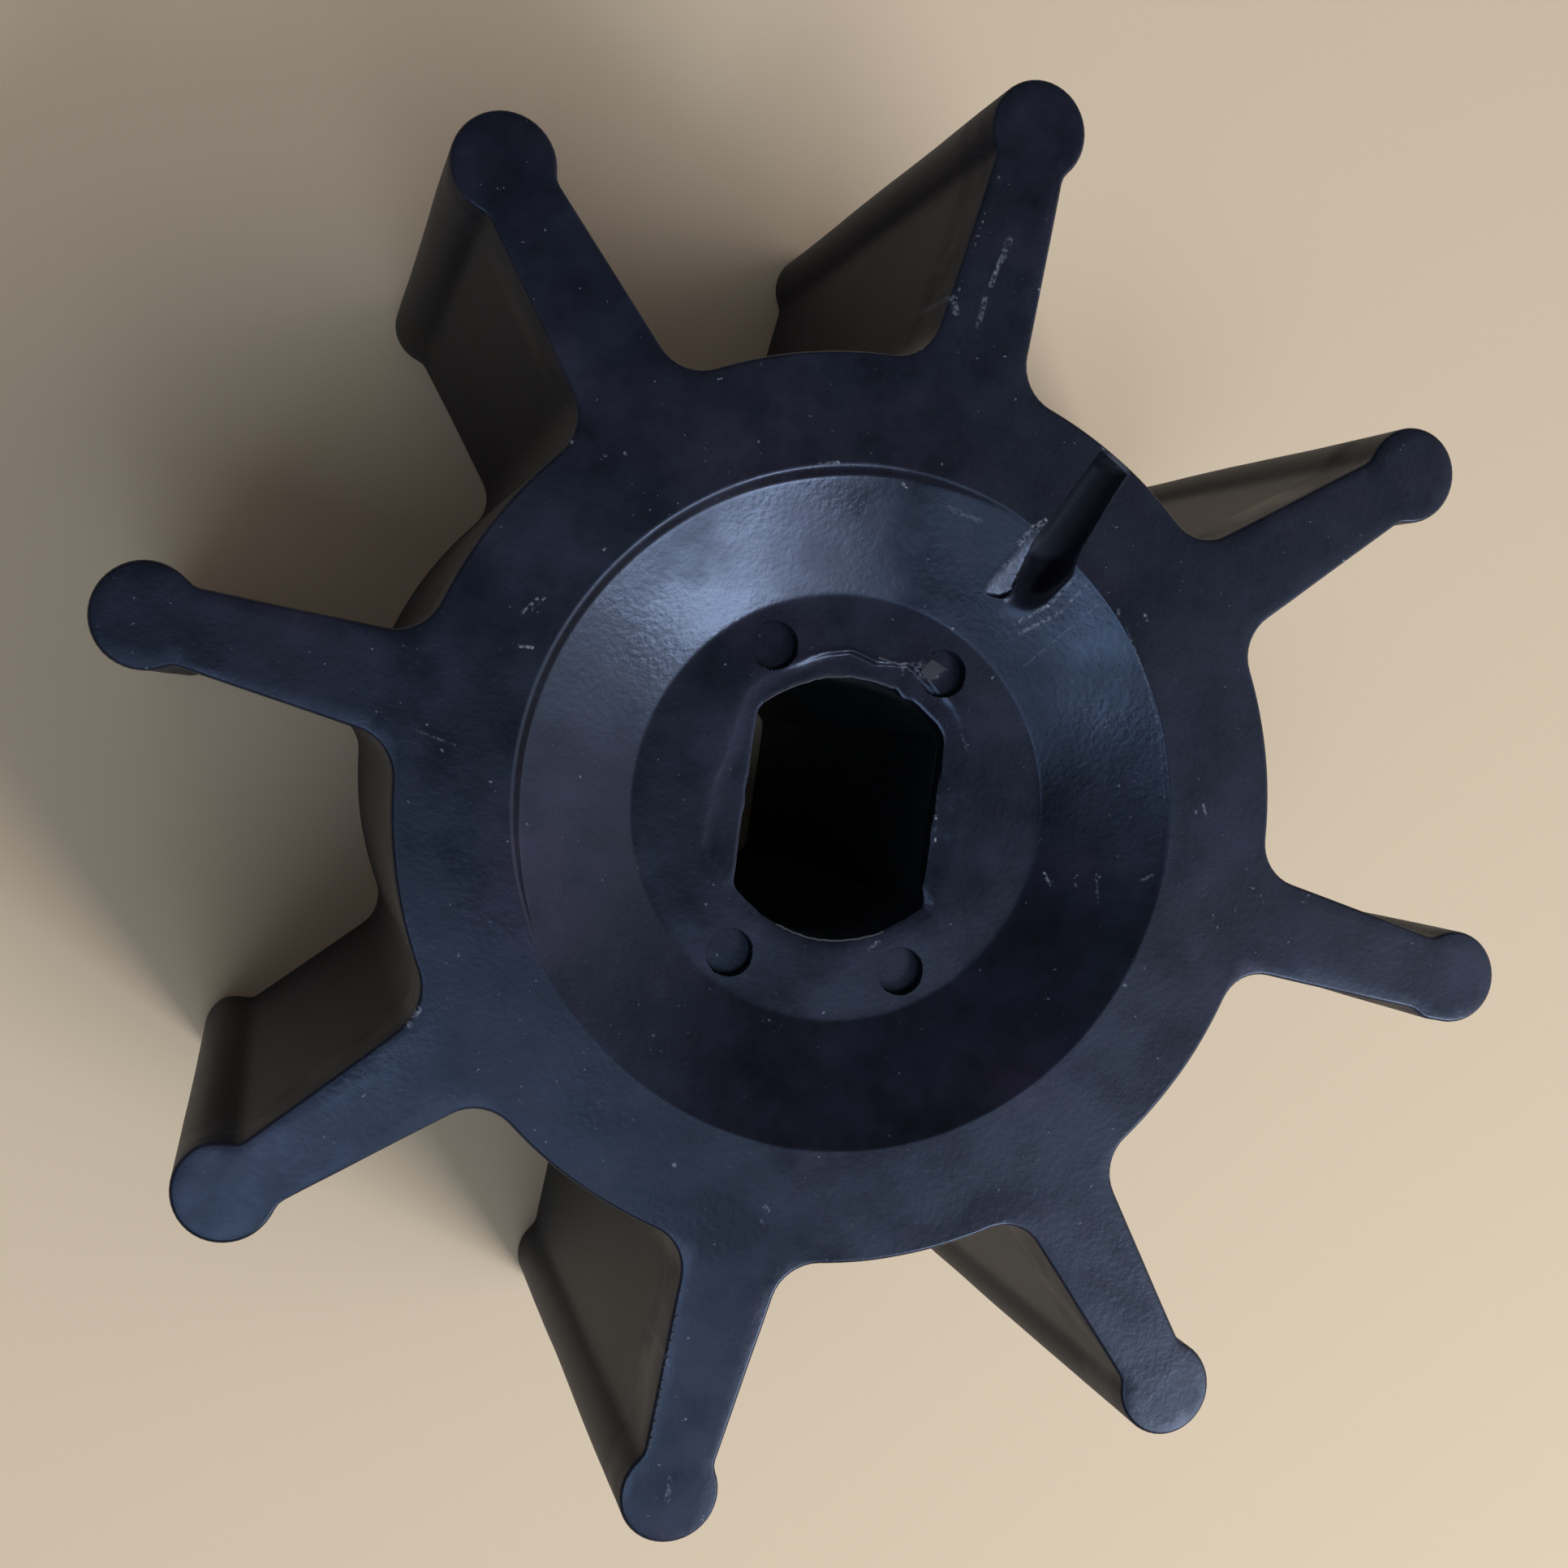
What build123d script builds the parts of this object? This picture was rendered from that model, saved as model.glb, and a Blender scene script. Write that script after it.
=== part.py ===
"""Flexible pump impeller: eight rubber blades moulded in one piece with a hub, over a rigid drive insert.

Millimetres and degrees. The rear face lies on the XY plane, and +Z runs along the shaft towards the
recessed front face. The flats of the double-D bore run along Y.
"""
import os
from math import sqrt

from build123d import *

# Driving dimensions
impeller_diameter = 57.2  # over the tips of two opposite blades
impeller_width = 31.8  # rear face to front face
hub_diameter = 34.5

blade_count = 8
blade_root_thickness = 3.9  # where the blade leaves the hub
blade_neck_thickness = 2.8  # just inside the tip bead
tip_bead_diameter = 3.8
root_fillet_radius = 1.8
neck_fillet_radius = 0.5

recess_diameter = 25.6  # dished recess in the front face
recess_wall = 0.4  # height of the wall under its rim
recess_depth = 2.1  # front face to the flat ring round the bore
ring_diameter = 16.6  # flat ring at the bottom of the recess
rim_radius = 0.3  # soft edge of the recess rim

groove_width = 1.5  # one round-bottomed groove, from the recess out to the edge of the hub
groove_depth = 1.6
groove_angle = 60.0  # its direction, from +X
groove_end_web = 0.3  # thin wall of rubber that closes its outer end

bore_diameter = 10.25  # double-D bore, over its round sides
bore_flats = 7.7  # across its flats
lead_in_width = 0.85  # bevel in the rubber round each mouth of the bore
lead_in_depth = 0.35

insert_diameter = 16.2
insert_skin = 0.9  # thickness of the rubber over each end of the insert
flute_count = 6  # axial flutes that key the insert into the rubber
flute_radius = 1.0
pin_hole_diameter = 1.9  # left in the front skin by the mould pins that held the insert
pin_circle_diameter = 13.8

cut_overrun = 1.0  # how far a cutter runs past the face it opens

# Places worked out from the sizes
hub_radius = hub_diameter / 2
bead_radius = tip_bead_diameter / 2
bead_centre_radius = impeller_diameter / 2 - bead_radius
root_half = blade_root_thickness / 2
neck_half = blade_neck_thickness / 2
neck_reach = bead_centre_radius - sqrt(bead_radius**2 - neck_half**2)
blade_taper = (root_half - neck_half) / (neck_reach - hub_radius)
blade_start_angle = groove_angle - 180 / blade_count  # the groove runs midway between two blades
recess_radius = recess_diameter / 2
ring_height = impeller_width - recess_depth
insert_length = ring_height - 2 * insert_skin
flute_pitch = 360 / flute_count
flute_start_angle = 90  # one flute on each side of the bore's long axis
pin_start_angles = (90 - flute_pitch / 2, 270 - flute_pitch / 2)  # each pair of pins straddles a flute

groove_direction = Vector(1, 0, 0).rotate(Axis.Z, groove_angle)
groove_plane = Plane((0, 0, impeller_width), x_dir=groove_direction.rotate(Axis.Z, 90), z_dir=groove_direction)


def blade_outline():
    """One tapered blade along +X, from inside the hub to the middle of its tip bead."""
    inner_reach = hub_radius - root_half
    inner_half = root_half + blade_taper * (hub_radius - inner_reach)
    outer_half = neck_half - blade_taper * (bead_centre_radius - neck_reach)
    Polygon(
        (inner_reach, inner_half),
        (bead_centre_radius, outer_half),
        (bead_centre_radius, -outer_half),
        (inner_reach, -inner_half),
        align=None,
    )


def double_d():
    """Section of the bore, with its flats along Y."""
    Circle(bore_diameter / 2)
    Rectangle(bore_flats, bore_diameter, mode=Mode.INTERSECT)


def fluted_section():
    """Outer section of the drive insert, and of the cavity that it fills."""
    Circle(insert_diameter / 2)
    with PolarLocations(insert_diameter / 2, flute_count, start_angle=flute_start_angle):
        Circle(flute_radius, mode=Mode.SUBTRACT)


def at_radius(vertices, radius):
    """The vertices that stand on a circle round the origin, to within the blade's half thickness."""
    return vertices.filter_by(lambda vertex: abs(sqrt(vertex.X**2 + vertex.Y**2) - radius) < neck_half / 4)


def in_bore(edge):
    """Whether an edge lies on the wall of the bore."""
    middle = edge @ 0.5
    return sqrt(middle.X**2 + middle.Y**2) < bore_diameter / 2 + lead_in_width / 2


# Rubber body: hub, blades and tip beads are one moulding
with BuildPart() as rubber_rotor:
    with BuildSketch() as star:
        Circle(hub_radius)
        with PolarLocations(0, blade_count, start_angle=blade_start_angle):
            blade_outline()
        with PolarLocations(bead_centre_radius, blade_count, start_angle=blade_start_angle):
            Circle(bead_radius)
        fillet(at_radius(star.vertices(), sqrt(neck_reach**2 + neck_half**2)), neck_fillet_radius)
        fillet(at_radius(star.vertices(), hub_radius), root_fillet_radius)
    extrude(amount=impeller_width)

    # Dished recess: a short wall, a shallow cone and the flat ring round the bore
    with BuildSketch(Plane.XZ):
        with BuildLine():
            Polyline(
                (0, impeller_width + cut_overrun),
                (recess_radius, impeller_width + cut_overrun),
                (recess_radius, impeller_width - recess_wall),
                (ring_diameter / 2, ring_height),
                (0, ring_height),
                close=True,
            )
        make_face()
    revolve(axis=Axis.Z, mode=Mode.SUBTRACT)
    front_edges = rubber_rotor.faces().sort_by(Axis.Z)[-1].edges().filter_by(GeomType.CIRCLE)
    fillet(front_edges.filter_by(lambda edge: edge.is_closed), rim_radius)

    # Radial groove with a round bottom: it opens into the dish, and a thin web closes its outer end
    with BuildSketch(groove_plane):
        with Locations((0, groove_width / 2 - groove_depth)):
            Circle(groove_width / 2)
            Rectangle(groove_width, groove_depth, align=(Align.CENTER, Align.MIN))
    extrude(amount=hub_radius - groove_end_web, mode=Mode.SUBTRACT)

    # Double-D bore through the rubber, with a bevelled mouth at each end
    with BuildSketch():
        double_d()
    extrude(amount=ring_height, mode=Mode.SUBTRACT)
    for mouth_height in (0, ring_height):
        mouth_edges = rubber_rotor.edges().filter_by_position(Axis.Z, mouth_height, mouth_height).filter_by(in_bore)
        mouth_face = rubber_rotor.faces().filter_by(lambda face: mouth_edges[0] in face.edges()).filter_by(Axis.Z)[0]
        chamfer(mouth_edges, lead_in_width, lead_in_depth, reference=mouth_face)

    # Cavity that the drive insert fills
    with BuildSketch(Plane.XY.offset(insert_skin)):
        fluted_section()
    extrude(amount=insert_length, mode=Mode.SUBTRACT)

    # Holes that the mould pins left in the front skin, down to the insert
    with BuildSketch(Plane.XY.offset(ring_height)):
        for pin_start_angle in pin_start_angles:
            with PolarLocations(pin_circle_diameter / 2, 2, start_angle=pin_start_angle, angular_range=flute_pitch * 2):
                Circle(pin_hole_diameter / 2)
    extrude(amount=-insert_skin, mode=Mode.SUBTRACT)

# Drive insert: a rigid fluted sleeve that carries the shaft's torque into the rubber
with BuildPart() as drive_insert:
    with BuildSketch(Plane.XY.offset(insert_skin)):
        fluted_section()
    extrude(amount=insert_length)
    with BuildSketch(Plane.XY.offset(insert_skin)):
        double_d()
    extrude(amount=insert_length, mode=Mode.SUBTRACT)

rubber_rotor.part.label = "rubber_rotor"
drive_insert.part.label = "drive_insert"

os.makedirs("parts", exist_ok=True)
export_step(rubber_rotor.part, "parts/rubber_rotor.step")
export_step(drive_insert.part, "parts/drive_insert.step")
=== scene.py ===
"""Visual model of a flexible pump impeller, dressed round its CAD part.

Lengths are in metres, in the part's own frame: the rear face lies on the XY plane, +Z runs along the shaft
towards the recessed front face, and the flats of the double-D bore run along Y.
"""

from math import atan2, cos, exp, pi, radians, sin, sqrt, tan

import bmesh
import bpy
from bpy.props import FloatProperty, FloatVectorProperty, IntProperty, PointerProperty
from bpy.types import Operator, Panel, PropertyGroup
from mathutils import Matrix, Vector, noise
from mathutils.geometry import delaunay_2d_cdt
from mathutils.kdtree import KDTree


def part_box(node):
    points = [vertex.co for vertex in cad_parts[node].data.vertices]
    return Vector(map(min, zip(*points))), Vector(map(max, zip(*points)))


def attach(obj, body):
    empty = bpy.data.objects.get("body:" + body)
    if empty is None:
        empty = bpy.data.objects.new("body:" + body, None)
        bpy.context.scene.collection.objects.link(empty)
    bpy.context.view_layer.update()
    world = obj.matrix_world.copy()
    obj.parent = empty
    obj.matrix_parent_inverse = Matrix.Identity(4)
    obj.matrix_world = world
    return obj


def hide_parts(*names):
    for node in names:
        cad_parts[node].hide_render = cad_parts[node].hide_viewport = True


bl_info = {
    "name": "Pump impeller",
    "version": (1, 0, 0),
    "blender": (4, 5, 0),
    "location": "View3D > Sidebar > Impeller",
    "description": "Builds the rubber body of a flexible pump impeller, its finish and its studio",
    "category": "Object",
}

MM = 0.001

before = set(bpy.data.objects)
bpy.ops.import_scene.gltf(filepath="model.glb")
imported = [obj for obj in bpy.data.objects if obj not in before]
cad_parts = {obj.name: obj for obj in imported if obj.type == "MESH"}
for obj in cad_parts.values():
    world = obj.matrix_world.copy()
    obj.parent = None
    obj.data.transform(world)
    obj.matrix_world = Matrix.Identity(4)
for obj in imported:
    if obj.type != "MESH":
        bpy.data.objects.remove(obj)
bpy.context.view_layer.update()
part_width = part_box("rubber_rotor")[1].z
insert_low, insert_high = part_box("drive_insert")


def length(name, description, millimetres):
    """A size that the user can change, given here in millimetres."""
    return FloatProperty(
        name=name, description=description, default=millimetres * MM, min=0, unit="LENGTH", precision=5
    )


def colour(name, description, default):
    """A linear colour that the user can change."""
    return FloatVectorProperty(
        name=name, description=description, default=default, size=3, min=0, max=1, subtype="COLOR"
    )


def share(name, description, default):
    """A number from 0 to 1 that the user can change."""
    return FloatProperty(name=name, description=description, default=default, min=0, max=1, subtype="FACTOR")


def strength(name, description, default):
    """Strength of a light that the user can change."""
    return FloatProperty(name=name, description=description, default=default, min=0)


def power(name, description, watts):
    """Power of a light that the user can change."""
    return FloatProperty(name=name, description=description, default=watts, unit="POWER")


def bearing(name, description, degrees):
    """An angle that the user can change, given here in degrees."""
    return FloatProperty(name=name, description=description, default=radians(degrees), unit="ROTATION")


def spot(name, description, default):
    """A point that the user can change."""
    return FloatVectorProperty(name=name, description=description, default=default, unit="LENGTH")


class ImpellerSizes(PropertyGroup):
    """Sizes of the rubber moulding."""

    width: length("Width", "Rear face to front face", part_width / MM)
    blade_count: IntProperty(name="Blades", description="Blades round the hub", default=8, min=3)
    first_blade_angle: bearing("First blade", "Direction of the first blade from +X", 37.5)
    tip_radius: length("Tip radius", "Shaft axis to a blade's tip", 28.6)
    hub_radius: length("Hub radius", "Shaft axis to the hub's wall between two blades", 17.25)
    root_half: length("Root half", "Half the thickness of a blade where it leaves the hub", 1.95)
    neck_half: length("Neck half", "Half the thickness of a blade inside its tip bead", 1.4)
    bead_radius: length("Bead radius", "Radius of the round bead along a blade's tip", 1.9)
    root_fillet: length("Root fillet", "Radius between a blade and the hub", 1.8)
    neck_fillet: length("Neck fillet", "Radius between a blade and its bead", 0.7)
    edge_radius: length("Edge radius", "Soft edge round the front and the rear face", 0.14)

    recess_radius: length("Recess radius", "Radius of the dished recess", 12.8)
    recess_wall: length("Recess wall", "Height of the wall under the recess rim", 0.4)
    rim_radius: length("Rim radius", "Soft edge of the recess rim", 0.3)
    ring_radius: length("Ring radius", "Outer radius of the flat ring round the bore", 8.3)
    ring_depth: length("Ring depth", "Front face to the flat ring", 2.1)

    groove_depth: length("Groove depth", "Front face to the groove's bottom", 1.6)
    groove_end: length("Groove end", "Shaft axis to the web that closes the groove", 16.95)
    groove_angle: bearing("Groove", "Direction of the groove from +X", 60)

    bore_radius: length("Bore radius", "Radius of the bore's round sides", 5.125)
    bore_flat: length("Bore flat", "Shaft axis to a flat of the bore", 3.85)
    mouth_step: length("Mouth step", "Depth of the shallow step round the front mouth of the bore", 0.11)
    lead_in: length("Lead-in", "Depth of the bevel round the rear mouth of the bore", 0.35)
    flute_radius: length("Flute radius", "Radius of the flutes along the drive insert", 1.0)
    pin_radius: length("Pin radius", "Radius of the holes left by the mould's pins", 0.92)
    pin_depth: length("Pin depth", "Depth of those holes below the flat ring", 0.55)
    flash_radius: length("Flash radius", "Radius of the threads of flash round the bore's mouth", 0.045)
    nib_radius: length("Nib radius", "Radius of the largest torn nib on a blade's edge", 0.16)


class RubberLook(PropertyGroup):
    """Colours and finish of the rubber and of the drive insert."""

    body: colour("Rubber", "Colour of the clean rubber", (0.0020, 0.0024, 0.0045))
    bloom: colour("Bloom", "Colour of the dull bloom on the rubber", (0.0105, 0.0125, 0.0250))
    stain: colour("Stain", "Colour of the bloom where it turns purple", (0.0155, 0.0120, 0.0250))
    # Also painted on as highlights: glints at the bore's mouth and a light line along the recess rim
    scuff_and_highlight: colour("Scuff", "Colour of a fresh scuff or torn flash", (0.30, 0.34, 0.44))
    roughness: share("Roughness", "Roughness of the moulded skin", 0.34)
    polish: share("Polish", "Roughness of the smooth recess", 0.30)
    sheen: colour("Sheen", "Tint of the reflections on the rubber", (0.48, 0.64, 1.0))
    insert: colour("Insert", "Colour of the drive insert", (0.004, 0.007, 0.012))


class StageLook(PropertyGroup):
    """Floor, lights and camera."""

    floor: colour("Floor", "Colour of the floor", (0.66, 0.55, 0.41))
    air: colour("Air", "Colour of the light from all round", (1.0, 0.93, 0.93))
    air_strength: strength("Air strength", "Strength of the light from all round", 0.16)
    glow_strength: strength("Glow strength", "Extra strength of the light round the main light", 1.3)
    haze_strength: strength("Haze strength", "Extra strength of the light near the horizon", 0.24)
    key: colour("Key", "Colour of the main light", (0.98, 0.99, 1.0))
    key_power: power("Key power", "Power of the main light", 1.0)
    sky: colour("Sky", "Colour of the softer light overhead", (0.76, 0.89, 1.0))
    sky_power: power("Sky power", "Power of the softer light overhead", 0.34)
    camera_place: spot("Camera place", "Where the camera stands", (-0.02129, 0.0017, 0.09986))
    camera_aim: spot("Camera aim", "Point that the camera looks at", (-0.00298, 0.00069, 0.0318))
    camera_roll: bearing("Camera roll", "Turn of the camera round its own line of sight", 7.98)
    camera_lens: FloatProperty(
        name="Camera lens", description="Focal length in millimetres", default=43.32, unit="CAMERA"
    )


# Soft lights round the part: direction from +X and height over the floor (degrees), width and height (m)
KEY_LIGHT = (-40, 43, 0.16, 0.115)
SKY_LIGHT = (-101, 70, 0.16, 0.13)
LIGHT_DISTANCE = 0.40  # m
GLOW_CENTRE = (-12, 28)  # direction of the glow, as for the lights

# Small lasting sets in the blades, in order round the hub from the first blade: lean of the tip to the left
# at the front and at the rear, change in reach and bow of the neck to the left (mm), extra fullness (share)
SET_UNITS = {"lean_front": MM, "lean_rear": MM, "reach": MM, "bow": MM, "fullness": 1}
BLADE_SETS = (
    (0.15, 0.24, 0.39, 0.0, 0.0),
    (0.10, 0.50, 0.17, 0.0, 0.0),
    (0.10, 0.22, -0.05, 0.0, 0.0),
    (-0.04, -0.04, -0.32, 0.0, 0.0),
    (-0.03, -0.13, -0.30, 0.12, -0.08),
    (-0.13, -0.13, -0.19, 0.0, 0.0),
    (-0.14, -0.20, 0.03, 0.0, 0.0),
    (0.0, 0.0, 0.22, -0.17, 0.08),
)

# Shape of the front groove: at distances from the shaft axis (mm), the offsets of its lips and feet to the
# left of its middle line (mm)
LEFT_LIP = (
    (9.5, 0.7), (9.9, 0.9), (10.2, 1.1), (10.6, 1.17), (11.9, 1.21), (12.6, 1.22), (13.0, 1.1), (13.5, 0.9),
    (14.0, 0.85), (17.5, 0.85),
)
LEFT_FOOT = (
    (9.5, 0.12), (10.7, 0.14), (11.15, 0.22), (11.7, 0.45), (12.5, 0.78), (13.0, 0.86), (13.4, 0.81),
    (17.5, 0.81),
)
RIGHT_FOOT = ((9.5, -0.1), (10.3, -0.2), (11.2, -0.35), (12.5, -0.5), (13.3, -0.58), (17.5, -0.5))
RIGHT_LIP = (
    (9.5, -1.0), (10.3, -1.15), (11.2, -1.3), (12.45, -1.3), (13.0, -1.02), (13.6, -0.86), (14.7, -0.77),
    (15.9, -0.66), (17.5, -0.58),
)
SLOT_DEEPENS = (9.7, 12.2)  # where the slot reaches its full depth (mm)
FOOT_SHARPENS = (10.6, 11.4)  # where its left foot turns from soft to crisp (mm)
SLOT_ROUNDS = (12.2, 13.8)  # where its bottom turns from flat to round (mm)
FLANK_SOFTNESS = 0.35 * MM
FLANK_SLOPE = 0.36  # of the smooth flank that leads down into the groove on its left, in the recess

# Width of the shallow step round the front mouth of the bore (mm), at directions from +X (degrees)
STEP_WIDTHS = (
    (0, 0.75), (15, 0.72), (37, 0.85), (69, 1.2), (84, 0.78), (95, 1.05), (116, 0.85), (140, 0.8), (158, 1.0),
    (178, 1.35), (203, 1.55), (219, 0.55), (240, 0.32), (270, 0.28), (300, 0.32), (330, 0.6), (350, 0.8),
    (360, 0.75),
)

# Scuffs and specks on the front, with painted highlights: three glints on the right edge of the bore's mouth
# and a thin light line along the right of the recess rim. Start, end, half width (mm) and strength
MARKS_AND_HIGHLIGHTS = (
    ((-13.53, 5.47), (-13.03, 6.08), 0.05, 0.35),
    ((-13.17, 5.65), (-12.75, 6.18), 0.04, 0.3),
    ((-13.43, 4.31), (-12.96, 4.33), 0.05, 0.5),
    ((-16.87, 0.87), (-15.23, 0.48), 0.04, 0.14),
    ((8.69, -1.47), (8.94, -1.89), 0.045, 0.75),
    ((10.54, -1.19), (10.71, -2.26), 0.05, 0.16),
    ((12.17, -1.19), (12.55, -0.91), 0.05, 0.3),
    ((11.95, -5.33), (11.99, -5.36), 0.06, 0.9),
    ((-5.15, -13.88), (-5.12, -13.91), 0.07, 0.35),
    ((-1.41, -15.20), (-1.29, -15.35), 0.08, 0.4),
    ((-1.49, -15.73), (-1.38, -15.82), 0.05, 0.3),
    ((14.20, 2.11), (14.39, 1.77), 0.05, 0.45),
    ((2.84, 22.32), (2.63, 21.53), 0.12, 0.22),
    ((2.57, 21.46), (2.35, 20.49), 0.08, 0.35),
    ((2.20, 19.96), (2.07, 18.88), 0.09, 0.22),
    ((0.85, 19.75), (1.12, 19.25), 0.12, 0.35),
    ((-4.78, -20.44), (-4.26, -21.49), 0.06, 0.3),
    ((-3.60, -25.68), (-3.61, -26.55), 0.09, 0.22),
    ((17.12, -19.64), (16.31, -20.94), 0.06, 0.12),
    ((16.31, -20.94), (15.22, -22.25), 0.06, 0.12),
    ((-15.21, -9.04), (-15.45, -9.62), 0.1, 0.5),
    ((7.85, 15.29), (7.96, 15.25), 0.07, 0.8),
    ((9.42, 9.16), (9.48, 9.01), 0.06, 0.4),
    ((10.57, 9.15), (10.67, 8.97), 0.06, 0.4),
    ((8.63, 9.31), (6.47, 6.51), 0.035, 0.16),
    ((2.01, 12.01), (3.39, 11.71), 0.09, 0.14),
    ((0.16, 12.56), (0.28, 12.49), 0.06, 0.5),
    ((-3.29, 12.70), (-2.61, 12.86), 0.06, 0.4),
    ((4.49, 3.54), (4.82, 2.94), 0.05, 0.14),
    ((-11.34, 11.61), (-11.30, 11.59), 0.06, 0.25),
    ((5.93, 8.24), (6.79, 8.97), 0.07, 0.4),
    ((6.79, 8.97), (7.53, 10.18), 0.07, 0.3),
    ((6.04, 7.80), (7.25, 8.70), 0.07, 0.35),
    ((7.25, 8.70), (7.98, 9.92), 0.06, 0.3),
    ((6.79, 8.97), (6.81, 9.00), 0.06, 0.9),
    ((7.25, 8.70), (7.27, 8.73), 0.05, 0.8),
    ((5.88, 12.08), (5.45, 11.75), 0.09, 0.6),
    ((5.45, 11.75), (5.10, 11.10), 0.1, 0.35),
    ((4.95, 10.30), (4.60, 9.50), 0.2, 0.14),
    # Painted highlight: a thin light line along the right side of the recess rim
    ((9.90, 8.50), (10.45, 7.60), 0.035, 0.14),
    ((10.45, 7.60), (11.10, 6.50), 0.035, 0.28),
    ((11.10, 6.50), (11.85, 4.90), 0.035, 0.2),
    ((11.85, 4.90), (12.60, 2.00), 0.03, 0.1),
    # Painted highlights: three glints on the right edge of the bore's mouth
    ((3.93, 0.22), (3.95, 0.14), 0.05, 1.0),
    ((3.97, -0.27), (3.98, -0.35), 0.05, 1.0),
    ((4.04, -0.68), (4.05, -0.76), 0.04, 0.9),
    ((2.55, 5.80), (3.15, 5.85), 0.3, 0.35),
    ((0.63, 5.84), (2.29, 6.02), 0.05, 0.2),
    ((1.91, -5.32), (2.29, -4.95), 0.06, 0.4),
)

# Torn flash round the front mouth of the bore: start and end (degrees), distance out from its edge (mm)
FLASH_ARCS = ((135, 74, 0.03), (-112, -62, 0.02), (84, 70, 0.95))

# Blade edges with torn nibs (mm)
NIB_EDGES = (
    ((0.95, 19.2), (1.55, 22.3), (2.05, 24.6)),
    ((-4.26, -19.6), (-4.42, -22.1), (-4.57, -24.5)),
)

# Torn flap at a pin hole: corners in order round it, heights over the flat ring (mm)
FLAP_CORNERS = ((2.40, 5.73, 0.02), (2.77, 5.41, 0.10), (3.35, 5.97, 0.30), (2.77, 6.28, 0.12))

# Dust that lies in the front groove, given as a mark
GROOVE_DUST = (((6.6, 11.43), (8.45, 14.64), 0.5, 0.13),)

# Centres of the holes that the mould's pins left (mm)
PIN_HOLES = ((-3.52, 5.89), (3.37, 5.81), (-3.62, -6.04), (3.36, -6.03))

# Small tears in the edge of the front mouth: direction and half width (degrees), how far outwards (mm)
MOUTH_TEARS = (
    (67.5, 2.2, -0.12), (72.5, 1.5, 0.07), (-41.0, 3.5, 0.16), (-34.0, 2.5, -0.06), (28.0, 4.0, 0.08),
)

# Unevenness of that edge: how closely its waves follow, reach (mm), layer of noise that it is read from
MOUTH_WAVES = ((6, 0.05, 0), (25, 0.025, 3))

# Where the step round the mouth is crisp, and half the width of that arc (degrees)
CRISP_ARC = (85, 32)

# Loops of points where the front changes shape: distances into the rim (mm), radii round the edge of the flat
# ring (mm), radii outside the groove's flare (mm), distances past the edge of the step round the bore's mouth
# (mm), distances out from that mouth (mm), and shares of a pin hole's radius
RIM_LOOPS = (
    -0.04, 0, 0.03, 0.07, 0.11, 0.15, 0.19, 0.24, 0.29, 0.34, 0.38, 0.41, 0.44, 0.48, 0.54, 0.62, 0.74,
)
RING_LOOPS = (8.46, 8.38, 8.34, 8.31, 8.28, 8.24, 8.16)
FLARE_LOOPS = (13.25, 13.4, 13.55, 13.7)
FLARE_ARC = (38, 66)  # degrees
STEP_LOOPS = (-0.2, -0.16, -0.12, -0.08, -0.04, 0.0, 0.04, 0.09, 0.15, 0.22, 0.32)
MOUTH_LOOPS = (0, 0.04, 0.09, 0.16)
PIN_LOOPS = (0.25, 0.55, 0.8, 0.965, 1.0, 1.05, 1.2)
LEAD_IN_LOOPS = (0, 0.5, 0.96, 1.04)  # shares of the bevel's width round the rear mouth

# Noise in the finishes: scale, detail, roughness
SMUDGES = (170, 4, 0.6)
MOTTLING = (620, 3, 0.6)
STAINS = (130, 3, 0.55)
SPECKS = (3600, 2, 0.5)
GAPS_IN_MARKS = (6500, 3, 0.7)
POLISH_PATCHES = (240, 3, 0.6)
FINE_GRAIN = (4200, 1, 0.55)
COARSE_GRAIN = (700, 2, 0.55)
POLYMER_SPECKLE = (3000, 2, 0.55)
POLYMER_PATCHES = (900, 3, 0.55)
SPECULAR = 0.4  # specular level of the rubber and of the polymer

OUTLINE_STEP = 0.28 * MM  # between the points of an outline
FLUTE_COUNT = 6  # flutes along the drive insert
LEAN_POWER = 1.3  # how a blade's lean grows with the distance from the hub
WALL_TILT = radians(45)  # mean slope of the wall under the recess rim
WALL_TILT_CHANGE = radians(10)  # the worn side is less steep by this, and the other side steeper
WALL_STEEPEST = radians(142)  # direction of the side that is least worn
WALL_WORN = 0.15  # share of the wall's height that is left on its worn side
RIM_SPREAD = 0.33 * MM  # how far outside the recess its rim starts to turn down
RING_OVERLAP = 0.16 * MM  # how far inside the hub's wall the blade ring meets the hub's faces
GROOVE_START = 9.5 * MM  # where the groove's flare begins in the dish, from the shaft axis
GROOVE_REACH = 1.6 * MM  # the groove and its flare lie within this offset
WEB_FADE = 0.03 * MM  # length over which the groove rises to the web at its end
LEAD_IN_WIDTH = 0.85 * MM  # of the bevel round the rear mouth of the bore
CAVITY_CLEARANCE = 0.01 * MM  # between the drive insert and the rubber round it
SKIN_CURVE = 0.6  # power by which the wall of the front skin runs from the torn mouth to the plain bore
FLAP_THICKNESS = 0.06 * MM
FLASH_STEP = 0.09 * MM  # between the rings of a thread of flash, and how far they stray
NIB_STEP = 0.3 * MM  # between two nibs
NIB_SINK = 0.05 * MM  # how far the middle of a nib lies below the front face
SKIN_WAVES = ((9, 0.05), (2.2, 0.012))  # unevenness of the soft rubber: wave length and reach (mm)
JUST_OUTSIDE = 1.00001  # share that moves a point of the mouth's edge on to the rubber beside it
NOISES_APART = (0.0, 31.7, 63.4)  # where the three noises of the skin are read, along Z
MERGE_GAP = 0.002 * MM  # points closer than this are one
CROWDED = 0.028 * MM  # cells of this size hold one point of a flat sheet
FRONT_GRID = 0.34 * MM  # step of the points that fill the front
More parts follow.
